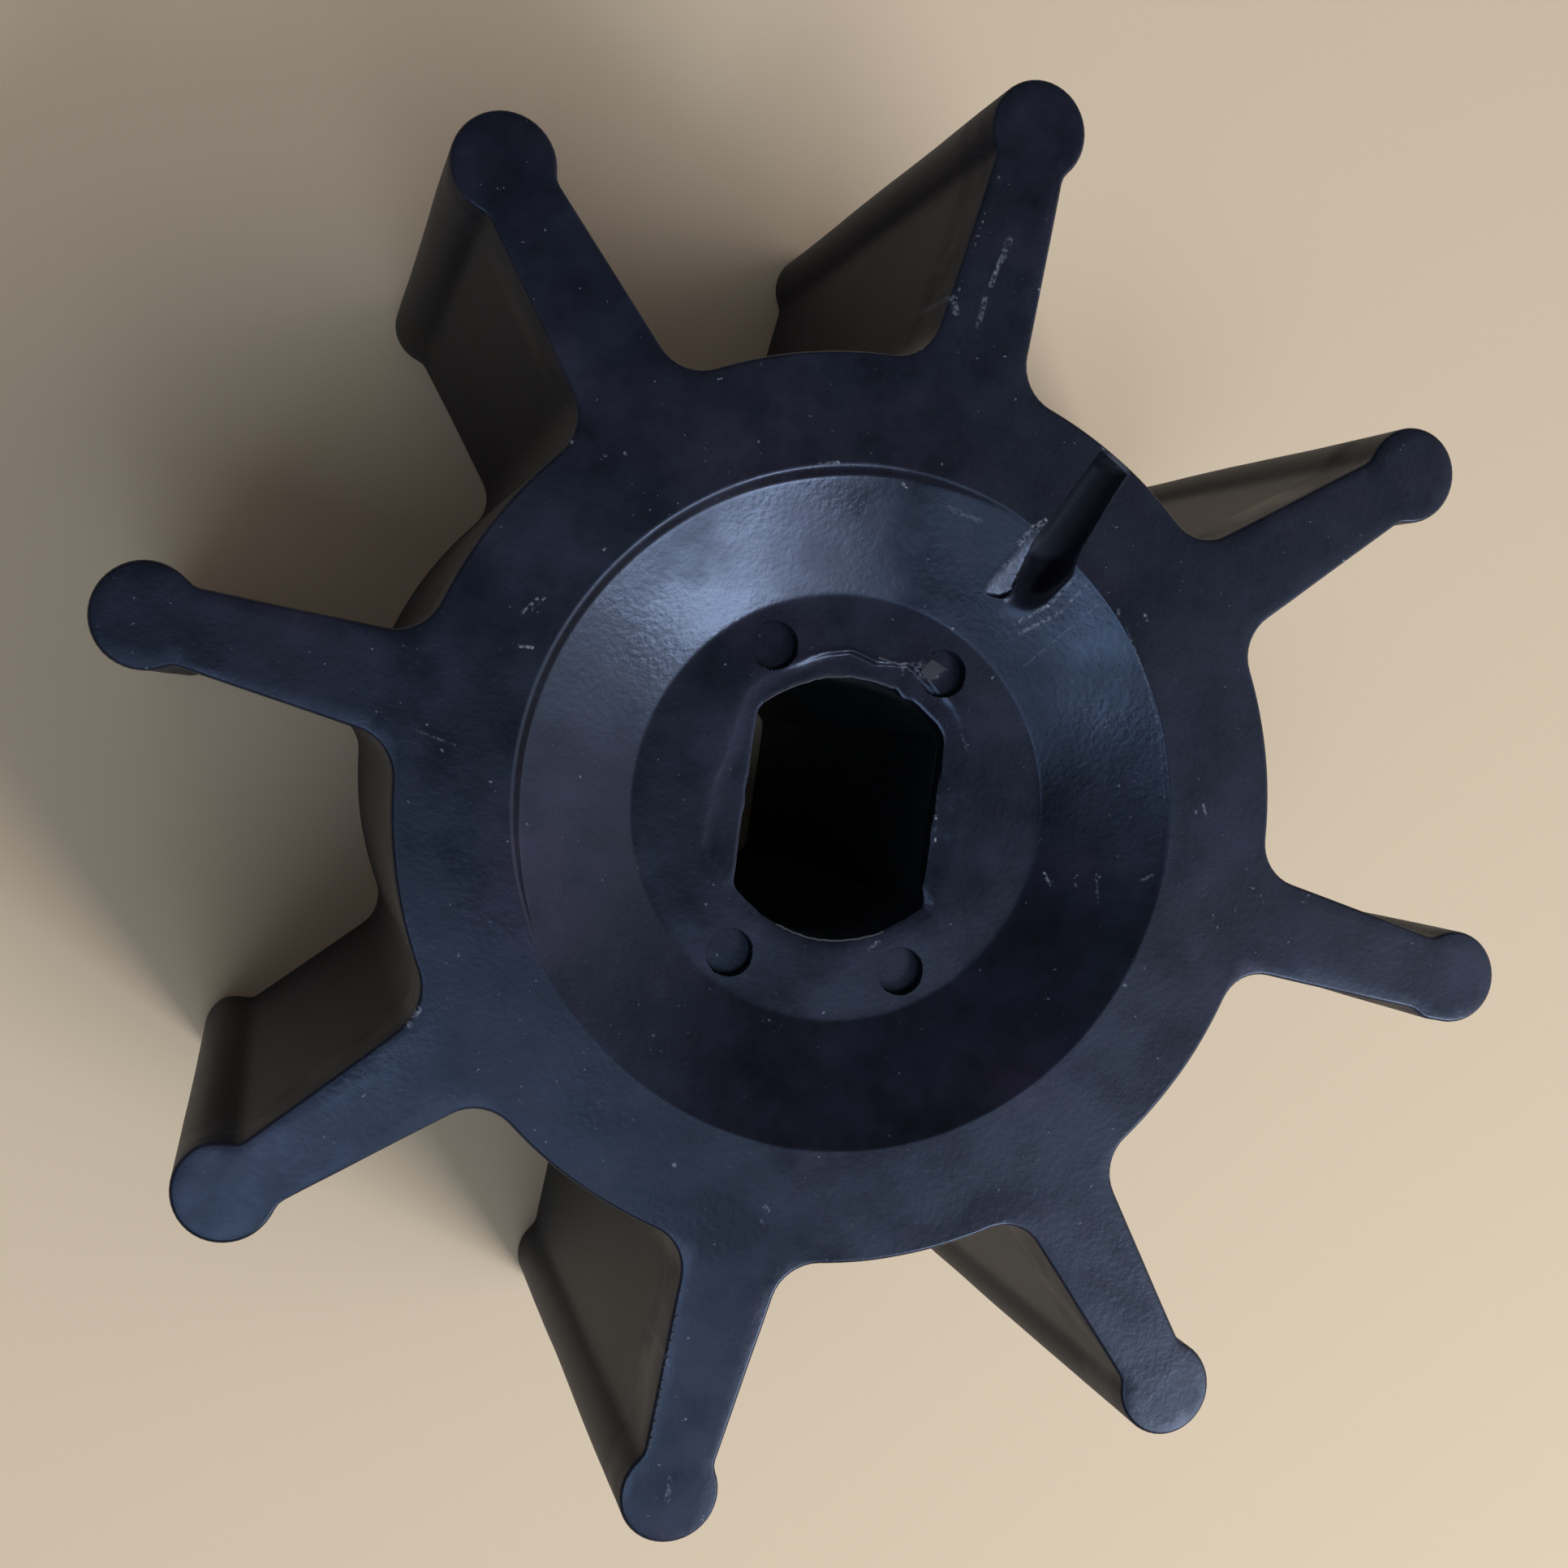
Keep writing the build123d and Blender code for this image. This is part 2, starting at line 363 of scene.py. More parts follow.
FINE_GRID = 0.17 * MM  # the same inside the next radius
FINE_RADIUS = 8.1 * MM
REAR_GRID = 0.7 * MM
RIM_POINTS = 380
RING_POINTS = 280
BORE_POINTS = 288


# Plane shapes


def direction(angle):
    """Unit vector in the plane."""
    return Vector((cos(angle), sin(angle)))


def arc(centre, radius, start, end, step=OUTLINE_STEP):
    """Points along an arc, both ends included."""
    count = max(2, round(abs(end - start) * radius / step))
    return [centre + radius * direction(start + (end - start) * i / count) for i in range(count + 1)]


def angle_of(vector):
    return atan2(vector.y, vector.x)


def turns(count):
    """Angles that share out a full turn."""
    return [2 * pi * i / count for i in range(count)]


def raised(point, height):
    """A point of the plane at a height."""
    return Vector((point.x, point.y, height))


def fillet_centre(foot, along, normal, fillet, centre, radius, outer):
    """Centre of a fillet between a straight line and a circle. Outer picks the one further along the line."""
    start = foot + fillet * normal - centre
    half = start.dot(along)
    root = sqrt(half**2 - start.dot(start) + (radius + fillet) ** 2)
    return centre + start + along * (-half + (root if outer else -root))


def blade_half_outline(size):
    """One side of a blade along +X: from its tip round the bead, down its side, along the hub to mid gap."""
    bead_centre = Vector((size.tip_radius - size.bead_radius, 0))
    neck_reach = bead_centre.x - sqrt(size.bead_radius**2 - size.neck_half**2)
    foot = Vector((size.hub_radius, size.root_half))
    along = (Vector((neck_reach, size.neck_half)) - foot).normalized()
    normal = Vector((-along.y, along.x))
    neck = fillet_centre(foot, along, normal, size.neck_fillet, bead_centre, size.bead_radius, outer=False)
    root = fillet_centre(foot, along, normal, size.root_fillet, Vector((0, 0)), size.hub_radius, outer=True)
    side_end = neck - normal * size.neck_fillet
    side_start = root - normal * size.root_fillet
    steps = round((side_end - side_start).length / (2 * OUTLINE_STEP))
    outline = arc(bead_centre, size.bead_radius, 0, angle_of(neck - bead_centre))
    outline += arc(neck, size.neck_fillet, angle_of(bead_centre - neck), angle_of(-normal))[1:]
    outline += [side_end.lerp(side_start, i / steps) for i in range(1, steps)]
    outline += arc(root, size.root_fillet, angle_of(-normal), angle_of(-root))
    outline += arc(Vector((0, 0)), size.hub_radius, angle_of(root), pi / size.blade_count)[1:]
    return outline


def blade_outline(size):
    """Outline of one slice of the star, anticlockwise from mid gap to mid gap."""
    half = blade_half_outline(size)
    return [Vector((p.x, -p.y)) for p in reversed(half[1:])] + half


def outward_normals(outline):
    """Outward normal at each point. The two ends stand on the hub's wall."""
    normals = []
    for before, after in zip(outline[:-2], outline[2:]):
        chord = (after - before).normalized()
        normals.append(Vector((chord.y, -chord.x)))
    return [outline[0].normalized()] + normals + [outline[-1].normalized()]


def smooth_min(a, b, reach):
    """The smaller of two numbers, with a soft change over about reach."""
    return (a + b - sqrt((a - b) ** 2 + reach**2)) / 2


def smooth_step(value, low, high):
    """0 below one limit and 1 above the other, with a soft change between them."""
    t = min(1, max(0, (value - low) / (high - low)))
    return t * t * (3 - 2 * t)


def lerp(a, b, t):
    return a + (b - a) * t


# Node trees


class Tree:
    """Adds nodes to a node tree and links them in one call."""

    def __init__(self, tree):
        self.tree = tree

    def add(self, kind, inputs=(), **settings):
        """A node with its settings and its inputs, by name or number. A value that is a socket is linked."""
        made = self.tree.nodes.new(kind)
        for name, value in settings.items():
            setattr(made, name, value)
        for name, value in dict(inputs).items():
            self.give(made.inputs[name], value)
        return made

    def give(self, socket, value):
        """Links a socket to another, or writes a plain value there."""
        if isinstance(value, bpy.types.NodeSocket):
            self.tree.links.new(value, socket)
        else:
            socket.default_value = value

    def math(self, operation, *values):
        return self.add("ShaderNodeMath", dict(enumerate(values)), operation=operation).outputs[0]

    def vector(self, operation, first, second):
        return self.add("ShaderNodeVectorMath", {0: first, 1: second}, operation=operation).outputs[0]

    def scaled(self, vector, factor):
        return self.add("ShaderNodeVectorMath", {0: vector, "Scale": factor}, operation="SCALE").outputs[0]

    def dot(self, first, second):
        made = self.add("ShaderNodeVectorMath", {0: first, 1: second}, operation="DOT_PRODUCT")
        return made.outputs["Value"]

    def span(self, vector):
        return self.add("ShaderNodeVectorMath", {0: vector}, operation="LENGTH").outputs["Value"]

    def xyz(self, vector):
        return self.add("ShaderNodeSeparateXYZ", {"Vector": vector}).outputs

    def map_range(self, value, low, high, to_low=0.0, to_high=1.0, smooth=False):
        kind = "SMOOTHSTEP" if smooth else "LINEAR"
        inputs = {"Value": value, "From Min": low, "From Max": high, "To Min": to_low, "To Max": to_high}
        return self.add("ShaderNodeMapRange", inputs, interpolation_type=kind, clamp=True).outputs["Result"]

    def attribute(self, name):
        made = self.add("GeometryNodeInputNamedAttribute", {"Name": name}, data_type="FLOAT")
        return made.outputs["Attribute"]


def new_group(name, kind, inputs):
    """A node group with inputs by name and kind of socket. Returns its tree and the values it is given."""
    t = Tree(bpy.data.node_groups.new(name, kind))
    for socket, socket_kind in inputs.items():
        t.tree.interface.new_socket(socket, in_out="INPUT", socket_type="NodeSocket" + socket_kind)
    return t, t.add("NodeGroupInput").outputs


def new_piece_group(name, inputs):
    """A Geometry Nodes group that makes rubber from a mesh."""
    sockets = {"Geometry": "Geometry", **inputs, "Rubber": "Material"}
    return new_group(name, "GeometryNodeTree", sockets)


def finish_group(t, name, kind, value):
    """Links a value to a node group's one output."""
    t.tree.interface.new_socket(name, in_out="OUTPUT", socket_type="NodeSocket" + kind)
    t.add("NodeGroupOutput", {name: value})
    return t.tree


def finish_piece_group(t, geometry, rubber):
    """Ends a Geometry Nodes group in real geometry with the rubber's material."""
    real = t.add("GeometryNodeRealizeInstances", {"Geometry": geometry})
    dressed = t.add("GeometryNodeSetMaterial", {"Geometry": real.outputs[0], "Material": rubber})
    return finish_group(t, "Geometry", "Geometry", dressed.outputs[0])


def grown(start, tree, inputs):
    """Plain mesh that a Geometry Nodes tree makes from a start mesh. Inputs are given by name."""
    holder = new_object("nodes_start", start)
    modifier = holder.modifiers.new("nodes", "NODES")
    modifier.node_group = tree
    for item in tree.interface.items_tree:
        if item.item_type == "SOCKET" and item.in_out == "INPUT" and item.name in inputs:
            modifier[item.identifier] = inputs[item.name]
    graph = bpy.context.evaluated_depsgraph_get()
    made = bpy.data.meshes.new_from_object(holder.evaluated_get(graph))
    holder.modifiers.clear()
    bpy.data.objects.remove(holder)
    return made


# The blade ring


def edge_rows(size):
    """Rows from the rear face to the front face: how far each is inset, and its height."""
    steps = 4
    quarter = [pi / 2 * i / steps for i in range(steps + 1)]
    rear = [(size.edge_radius * (1 - sin(a)), size.edge_radius * (1 - cos(a))) for a in quarter]
    wall_steps = 20
    low, high = size.edge_radius, size.width - size.edge_radius
    wall = [(0, lerp(low, high, i / wall_steps)) for i in range(1, wall_steps)]
    front = [(inset, size.width - height) for inset, height in reversed(rear)]
    return rear + wall + front


def hexagon_points(low, high, step):
    """Points of a triangular grid that fills a box in the plane."""
    row_height = step * sqrt(3) / 2
    rows = int((high.y - low.y) / row_height) + 1
    columns = int((high.x - low.x) / step) + 1
    return [
        Vector((low.x + step * (column + row % 2 / 2), low.y + row * row_height))
        for row in range(rows)
        for column in range(columns)
    ]


def clear_of(points, filler, gap):
    """The filler points that keep a gap to all the given points."""
    tree = KDTree(len(points))
    for index, point in enumerate(points):
        tree.insert(point.to_3d(), index)
    tree.balance()
    return [point for point in filler if tree.find(point.to_3d())[2] > gap]


def triangles(boundary, filler):
    """Triangles that fill a closed outline, and the points that they use."""
    made = delaunay_2d_cdt(boundary + filler, [], [list(range(len(boundary)))], 1, 1e-9)
    return made[0], made[2]


def add_sheet(mesh, points, faces, height, upward):
    """Adds plane triangles to a bmesh, with the height that a function gives each point."""
    used = sorted({i for face in faces for i in face})
    verts = {i: mesh.verts.new((points[i].x, points[i].y, height(points[i]))) for i in used}
    for face in faces:
        corners = [verts[i] for i in face]
        mesh.faces.new(corners if upward else corners[::-1])


def add_rows(mesh, rows, closed):
    """Adds quads between rows of points, which run anticlockwise seen from +Z. Faces look to their right."""
    made = [[mesh.verts.new(p) for p in row] for row in rows]
    for lower, upper in zip(made[:-1], made[1:]):
        last = len(lower) if closed else len(lower) - 1
        for i in range(last):
            j = (i + 1) % len(lower)
            mesh.faces.new((lower[i], lower[j], upper[j], upper[i]))


def mesh_data(name, mesh):
    """Mesh data made from a bmesh, which is freed."""
    data = bpy.data.meshes.new(name)
    mesh.to_mesh(data)
    mesh.free()
    return data


def new_object(name, data):
    made = bpy.data.objects.new(name, data)
    bpy.context.scene.collection.objects.link(made)
    return made


def blade_slice(size):
    """Mesh of one blade along +X with its slice of the hub's wall, open towards the hub's two faces."""
    mesh = bmesh.new()
    outline = blade_outline(size)
    normals = outward_normals(outline)
    rows = []
    for inset, height in edge_rows(size):
        rows.append([raised(p - n * inset, height) for p, n in zip(outline, normals)])
    add_rows(mesh, rows, closed=False)
    inner_radius = size.hub_radius - RING_OVERLAP
    end = pi / size.blade_count
    inner = arc(Vector((0, 0)), inner_radius, end, -end)
    cap = [p - n * size.edge_radius for p, n in zip(outline, normals)] + inner
    low = Vector((inner_radius, -size.hub_radius / 2))
    high = Vector((size.tip_radius, size.hub_radius / 2))
    filler = clear_of(cap, hexagon_points(low, high, 2 * OUTLINE_STEP), OUTLINE_STEP)
    points, faces = triangles(cap, filler)
    add_sheet(mesh, points, faces, lambda p: size.width, upward=True)
    add_sheet(mesh, points, faces, lambda p: 0, upward=False)
    bmesh.ops.remove_doubles(mesh, verts=mesh.verts, dist=MERGE_GAP)
    return mesh_data("blade_slice", mesh)


def blade_ring_tree():
    """Geometry Nodes that set one blade on each point, give it the point's own set and turn it into place."""
    radii = ("Hub radius", "Neck radius", "Bead radius", "Tip radius", "Width")
    t, given = new_piece_group("Blade ring", {"Blade": "Object", **dict.fromkeys(radii, "Float")})
    blade = t.add("GeometryNodeObjectInfo", {"Object": given["Blade"]}).outputs["Geometry"]
    ring = t.add("GeometryNodeInstanceOnPoints", {"Points": given["Geometry"], "Instance": blade}).outputs[0]
    real = t.add("GeometryNodeRealizeInstances", {"Geometry": ring}).outputs[0]
    place = t.xyz(t.add("GeometryNodeInputPosition").outputs[0])
    out = t.map_range(place["X"], given["Hub radius"], given["Tip radius"])
    swell = t.map_range(place["X"], given["Hub radius"], given["Neck radius"])
    bead = t.map_range(place["X"], given["Neck radius"], given["Bead radius"], 1.0, 0.0, smooth=True)
    neck = t.math("MULTIPLY", swell, bead)
    across = t.math("MULTIPLY_ADD", place["Y"], t.math("MULTIPLY", neck, t.attribute("fullness")), place["Y"])
    bowed = t.math("MULTIPLY_ADD", neck, t.attribute("bow"), across)
    lean = t.map_range(place["Z"], 0.0, given["Width"], t.attribute("lean_rear"), t.attribute("lean_front"))
    leaning = t.math("MULTIPLY_ADD", t.math("POWER", out, LEAN_POWER), lean, bowed)
    reaching = t.math("MULTIPLY_ADD", out, t.attribute("reach"), place["X"])
    bent = t.add("ShaderNodeCombineXYZ", {"X": reaching, "Y": leaning, "Z": place["Z"]}).outputs[0]
    turn = {"Vector": bent, "Angle": t.attribute("turn")}
    turned = t.add("ShaderNodeVectorRotate", turn, rotation_type="Z_AXIS").outputs[0]
    moved = t.add("GeometryNodeSetPosition", {"Geometry": real, "Position": turned}).outputs[0]
    return finish_piece_group(t, moved, given["Rubber"])


def blade_ring(size, rubber):
    """All the blades with the hub's wall between them."""
    points = bpy.data.meshes.new("blade_points")
    points.vertices.add(size.blade_count)
    sets = [BLADE_SETS[index % len(BLADE_SETS)] for index in range(size.blade_count)]
    columns = {"turn": [size.first_blade_angle + turn for turn in turns(size.blade_count)]}
    for place, (name, unit) in enumerate(SET_UNITS.items()):
        columns[name] = [blade_set[place] * unit for blade_set in sets]
    for name, column in columns.items():
        points.attributes.new(name, "FLOAT", "POINT").data.foreach_set("value", column)
    blade = new_object("one_blade", blade_slice(size))
    bead_centre = size.tip_radius - size.bead_radius
    inputs = {
        "Blade": blade,
        "Hub radius": size.hub_radius,
        "Neck radius": bead_centre - sqrt(size.bead_radius**2 - size.neck_half**2),
        "Bead radius": bead_centre,
        "Tip radius": size.tip_radius,
        "Width": size.width,
        "Rubber": rubber,
    }
    made = grown(points, blade_ring_tree(), inputs)
    bpy.data.objects.remove(blade)
    return made


# The hub


def from_table(table, at):
    """Value at a place in a table of (place, value), with straight lines between its rows."""
    for (low, before), (high, after) in zip(table[:-1], table[1:]):
        if at <= high:
            return lerp(before, after, max(0, at - low) / (high - low))
    return table[-1][1]


def bore_radius_at(size, angle):
    """Distance from the axis to the wall of the double-D bore, with its corners a little round."""
    flat = size.bore_flat / max(abs(cos(angle)), 0.2)
    return smooth_min(size.bore_radius, flat, 0.12 * MM)


def mouth_radius_at(size, angle):
    """The same at the front mouth, whose rubber edge is a little torn."""
    torn = 0
    for waves, reach, layer in MOUTH_WAVES:
        torn += noise.noise(Vector((waves * cos(angle), waves * sin(angle), layer))) * reach
    for where, wide, deep in MOUTH_TEARS:
        off = (angle - radians(where) + pi) % (2 * pi) - pi
        torn += deep * exp(-((off / radians(wide)) ** 2))
    return bore_radius_at(size, angle) + torn * MM


def insert_radius_at(size, angle):
    """Distance from the axis to the outside of the fluted insert."""
    radius = insert_high.x
    pitch = 2 * pi / FLUTE_COUNT
    off = (angle - pi / 2 + pitch / 2) % pitch - pitch / 2
    inside = size.flute_radius**2 - (radius * sin(off)) ** 2
    return radius * cos(off) - sqrt(inside) if inside > 0 else radius


def dish_depth(size, radius, angle):
    """Depth of the recess below the front face: soft rim, short wall, cone and flat ring."""
    rim = size.rim_radius
    into = size.recess_radius + RIM_SPREAD - radius
    if into <= 0:
        return 0
    tilt = WALL_TILT + WALL_TILT_CHANGE * cos(angle - WALL_STEEPEST)
    arc_width = rim * sin(tilt)
    if into < arc_width:
        wall = rim - sqrt(rim**2 - into**2)
    else:
        wall = rim * (1 - cos(tilt)) + (into - arc_width) * tan(tilt)
    edge_depth = size.recess_wall * lerp(WALL_WORN, 1.0, smooth_step(cos(angle - WALL_STEEPEST), 0.1, 0.9))
    slope = (size.ring_depth - edge_depth) / (size.recess_radius - size.ring_radius)
    cone = edge_depth + slope * (size.recess_radius - radius)
    dished = max(0, smooth_min(wall, cone, 0.03 * MM))
    return smooth_min(dished, size.ring_depth, 0.03 * MM)


def along_groove(size, point):
    """Distance out along the groove and offset to the left of its middle line."""
    along = direction(size.groove_angle)
    return point.dot(along), point.y * along.x - point.x * along.y


def groove_edges(along):
    """Offsets of the groove's left lip, left foot, right foot and right lip."""
    return (from_table(table, along / MM) * MM for table in (LEFT_LIP, LEFT_FOOT, RIGHT_FOOT, RIGHT_LIP))


def flank_end(across):
    """Where the smooth flank ends at an offset, along the groove: it curls outwards beside the slot."""
    return (9.95 + 0.3 * min(1.2, max(0, 1.3 - across / MM)) ** 2) * MM


def change_along(along, span):
    """0 to 1 over a span of distances along the groove."""
    return smooth_step(along, span[0] * MM, span[1] * MM)


def cut_groove(size, point, depth):
    """Depth of the front with the groove cut into it: a slot in the hub's face that flares into the dish."""
    along, across = along_groove(size, point)
    if along < GROOVE_START or abs(across) > GROOVE_REACH or along > size.groove_end + WEB_FADE:
        return depth
    left_lip, left_foot, right_foot, right_lip = groove_edges(along)
    from_right = smooth_step(across, right_lip, right_foot)
    inward = min(left_lip - left_foot, max(0, left_lip - across))
    flank = FLANK_SLOPE * (sqrt(inward**2 + FLANK_SOFTNESS**2) - FLANK_SOFTNESS) * from_right
    end = flank_end(across)
    fade = lerp(0.12, 1.5, smooth_step(left_foot - across, -0.1 * MM, 0.4 * MM)) * MM
    depth += flank * smooth_step(along, end - 0.04 * MM, end + fade)
    middle = (left_foot + right_foot) / 2
    place = (across - middle) / (left_foot - middle)
    roundness = lerp(0.05, 0.85, change_along(along, SLOT_ROUNDS)) * MM
    floor = size.groove_depth - roundness * min(1, place**2)
    softness = lerp(0.35, 0.07, change_along(along, FOOT_SHARPENS)) * MM
    share_in = from_right * smooth_step(left_foot - across, -0.03 * MM, softness)
    share_in *= change_along(along, SLOT_DEEPENS)
    share_in *= 1 - smooth_step(along, size.groove_end, size.groove_end + WEB_FADE)
    return depth + max(0, floor - depth) * share_in


def step_width_at(angle):
    """Width of the shallow step in a direction."""
    return from_table(STEP_WIDTHS, (angle % (2 * pi)) * 180 / pi) * MM


def cut_mouth(size, radius, angle, depth):
    """Depth of the ring with the bore's soft edge, the shallow step round it and the low ridge along that."""
    out = radius - mouth_radius_at(size, angle)
    past = out - step_width_at(angle)
    if past > 0.6 * MM:
        return depth
    where, wide = CRISP_ARC
    crisp = exp(-(((angle - radians(where)) / radians(wide)) ** 4))
    rough = lerp(0.2, 1.0, crisp) * (0.7 + 0.9 * noise.noise(Vector((9 * cos(angle), 9 * sin(angle), 7))))
    step = size.mouth_step * lerp(0.65, 1.0, crisp)
    depth += step * (1 - smooth_step(past, lerp(-0.6, -0.16, crisp) * MM, lerp(0.35, 0.0, crisp) * MM))
    depth -= 0.035 * MM * rough * exp(-((past / (0.12 * MM)) ** 2))
    return depth + 0.03 * MM * exp(-((out / (0.07 * MM)) ** 2))


def cut_pin_holes(size, point, depth):
    """Depth of the ring with the steep-walled holes cut into it."""
    for place in PIN_HOLES:
        off = (point - Vector(place) * MM).length
        depth += size.pin_depth * (1 - smooth_step(off, 0.965 * size.pin_radius, size.pin_radius))
    return depth


def front_height(size, point):
    """Height of the front of the hub."""
    radius, angle = point.length, angle_of(point)
    depth = cut_groove(size, point, dish_depth(size, radius, angle))
    if radius < size.ring_radius:
        depth = cut_pin_holes(size, point, cut_mouth(size, radius, angle, depth))
    return size.width - depth


def rear_height(size, point):
    """Height of the rear of the hub: flat, with a bevelled mouth."""
    share_out = (point.length - bore_radius_at(size, angle_of(point))) / LEAD_IN_WIDTH
    return size.lead_in * max(0, 1 - share_out)


def ring_points(radius, count):
    return [direction(angle) * radius for angle in turns(count)]


def mouth_points(size, radius_at, width, shares):
    """Loops of points round a mouth of the bore, at shares of a width out from its edge."""
    return [direction(a) * (radius_at(size, a) + width * part) for part in shares for a in turns(BORE_POINTS)]


def groove_points(size):
    """Lines of points along the groove's lips and feet, and across its end."""
    along_line = direction(size.groove_angle)
    side = Vector((-along_line.y, along_line.x))
    step = 0.06 * MM
    places = [size.groove_end + gap * MM for gap in (0.06, 0.035, 0.0)]
    count = round((size.groove_end - GROOVE_START + 0.1 * MM) / step)
    places += [size.groove_end - i * step for i in range(1, count)]
    made = []
    for along in places:
        left_lip, left_foot, right_foot, right_lip = groove_edges(along)
        across = [left_lip + gap * MM for gap in (0.09, 0.03, 0.0)]
        across += [left_foot + gap * MM for gap in (0.06, 0.03, 0.0, -0.03, -0.07, -0.1)]
        across += [right_lip + gap * MM for gap in (0.03, 0.0, -0.03, -0.09)]
        for low, high in ((left_foot, left_lip), (right_foot, left_foot), (right_lip, right_foot)):
            inner = int((high - low) / (2 * step))
            across += [lerp(low, high, i / (inner + 1)) for i in range(inner + 1)]
        made += [along_line * along + side * offset for offset in across]
    for row in range(24):
        offset = (0.2 + 0.05 * row) * MM
        for gap in (-0.08, -0.04, 0.0, 0.05, 0.09):
            made.append(along_line * (flank_end(offset) + gap * MM) + side * offset)
    return made


def clear_of_groove(size, points):
    """The points that lie outside the groove and its flare."""
    kept = []
    for point in points:
        along, across = along_groove(size, point)
        beyond = along < GROOVE_START or along > size.groove_end
        low = (from_table(RIGHT_LIP, along / MM) - 0.1) * MM
        high = (from_table(LEFT_LIP, along / MM) + 0.1) * MM
        if beyond or not low < across < high:
            kept.append(point)
    return kept


def thinned(points, gap):
    """The points in order, without any that shares a small cell with an earlier one."""
    taken = set()
    kept = []
    for point in points:
        cell = (round(point.x / gap), round(point.y / gap))
        if cell not in taken:
            taken.add(cell)
            kept.append(point)
    return kept


def filled_ring(size, fixed, fillers, radius_at):
    """Triangles between the hub's outer ring and the bore, over fixed points and grids of filler points."""

    def beyond_edge(point):
        """Distance out from the edge of the bore."""
        return point.length - radius_at(size, angle_of(point))

    points = thinned(fixed, CROWDED)
    for grid, gap in fillers:
        points = points + clear_of(points, [p for p in grid if beyond_edge(p) > 0], gap)
    made = delaunay_2d_cdt(points, [], [], 0, 1e-9)
    on_edge = [abs(beyond_edge(point)) < MERGE_GAP for point in made[0]]
    faces = []
    for face in made[2]:
        middle = sum((made[0][i] for i in face), Vector((0, 0))) / 3
        if not all(on_edge[i] for i in face) or beyond_edge(middle) > 0:
            faces.append(face)
    return made[0], faces


def disc_points(size, step, radius):
    """Points of a triangular grid over the hub, inside a radius."""
    reach = Vector((size.hub_radius, size.hub_radius))
    return [p for p in hexagon_points(-reach, reach, step) if p.length < radius]


def front_sheet(size, outer_ring):
    """Points and triangles of the hub's front, with close loops where its shape changes."""
    limit = size.hub_radius - RING_OVERLAP
    rings = []
    for into in RIM_LOOPS:
        rings += ring_points(size.recess_radius + RIM_SPREAD - into * MM, RIM_POINTS)
    for radius in RING_LOOPS:
        rings += ring_points(radius * MM, RING_POINTS)
    for radius in FLARE_LOOPS:
        rings += arc(Vector((0, 0)), radius * MM, *map(radians, FLARE_ARC), 0.3 * MM)
    fixed = list(outer_ring)
    fixed += [p for p in groove_points(size) if p.length < limit - 0.05 * MM]
    fixed += clear_of_groove(size, rings)
    for past in STEP_LOOPS:
        for angle in turns(BORE_POINTS):
            out = step_width_at(angle) + past * MM
            if out > 0.1 * MM:
                fixed.append(direction(angle) * (mouth_radius_at(size, angle) + out))
    fixed += mouth_points(size, mouth_radius_at, MM, MOUTH_LOOPS)
    for place in PIN_HOLES:
        for share_out in PIN_LOOPS:
            fixed += arc(Vector(place) * MM, size.pin_radius * share_out, 0, 2 * pi, 0.13 * MM)[:-1]
    fine = disc_points(size, FINE_GRID, FINE_RADIUS)
    coarse = disc_points(size, FRONT_GRID, limit)
    return filled_ring(size, fixed, ((fine, 0.1 * MM), (coarse, 0.2 * MM)), mouth_radius_at)


def rear_sheet(size, outer_ring):
    """Points and triangles of the hub's rear."""
    fixed = list(outer_ring)
    fixed += mouth_points(size, bore_radius_at, LEAD_IN_WIDTH, LEAD_IN_LOOPS)
    grid = disc_points(size, REAR_GRID, size.hub_radius - RING_OVERLAP)
    return filled_ring(size, fixed, ((grid, REAR_GRID / 2),), bore_radius_at)


def hub_mesh(size, mesh):
    """Adds the hub's two faces and the walls of the bore and of the insert's cavity to a bmesh."""
    half = pi / size.blade_count
    per_blade = arc(Vector((0, 0)), size.hub_radius - RING_OVERLAP, -half, half)[:-1]
    outer_ring = []
    for index in range(size.blade_count):
        turn = Matrix.Rotation(size.first_blade_angle + 2 * half * index, 2)
        outer_ring += [turn @ p for p in per_blade]
    add_sheet(mesh, *front_sheet(size, outer_ring), lambda p: front_height(size, p), upward=True)
    add_sheet(mesh, *rear_sheet(size, outer_ring), lambda p: rear_height(size, p), upward=False)
    roof, base = insert_high.z + CAVITY_CLEARANCE, insert_low.z - CAVITY_CLEARANCE
    skin_steps = 6
    rows = []
    for step in range(skin_steps):
        row = []
        for angle in turns(BORE_POINTS):
            edge = direction(angle) * mouth_radius_at(size, angle)
            top = raised(edge, front_height(size, edge * JUST_OUTSIDE))
            foot = raised(direction(angle) * bore_radius_at(size, angle), roof)
            down = step / skin_steps
            mixed = top.lerp(foot, down**SKIN_CURVE)
            mixed.z = lerp(top.z, foot.z, down)
            row.append(mixed)
        rows.append(row)
    profile = (
        (bore_radius_at, 0, roof),
        (insert_radius_at, CAVITY_CLEARANCE, roof),
        (insert_radius_at, CAVITY_CLEARANCE, base),
        (bore_radius_at, 0, base),
        (bore_radius_at, 0, size.lead_in),
    )
    for radius_at, extra, height in profile:
        rows.append([raised(direction(a) * (radius_at(size, a) + extra), height) for a in turns(BORE_POINTS)])
    add_rows(mesh, rows, closed=True)


def skin_noise(place):
    """Three even noises at a place, as a vector."""
    return Vector([noise.noise(place + Vector((0, 0, apart))) for apart in NOISES_APART])


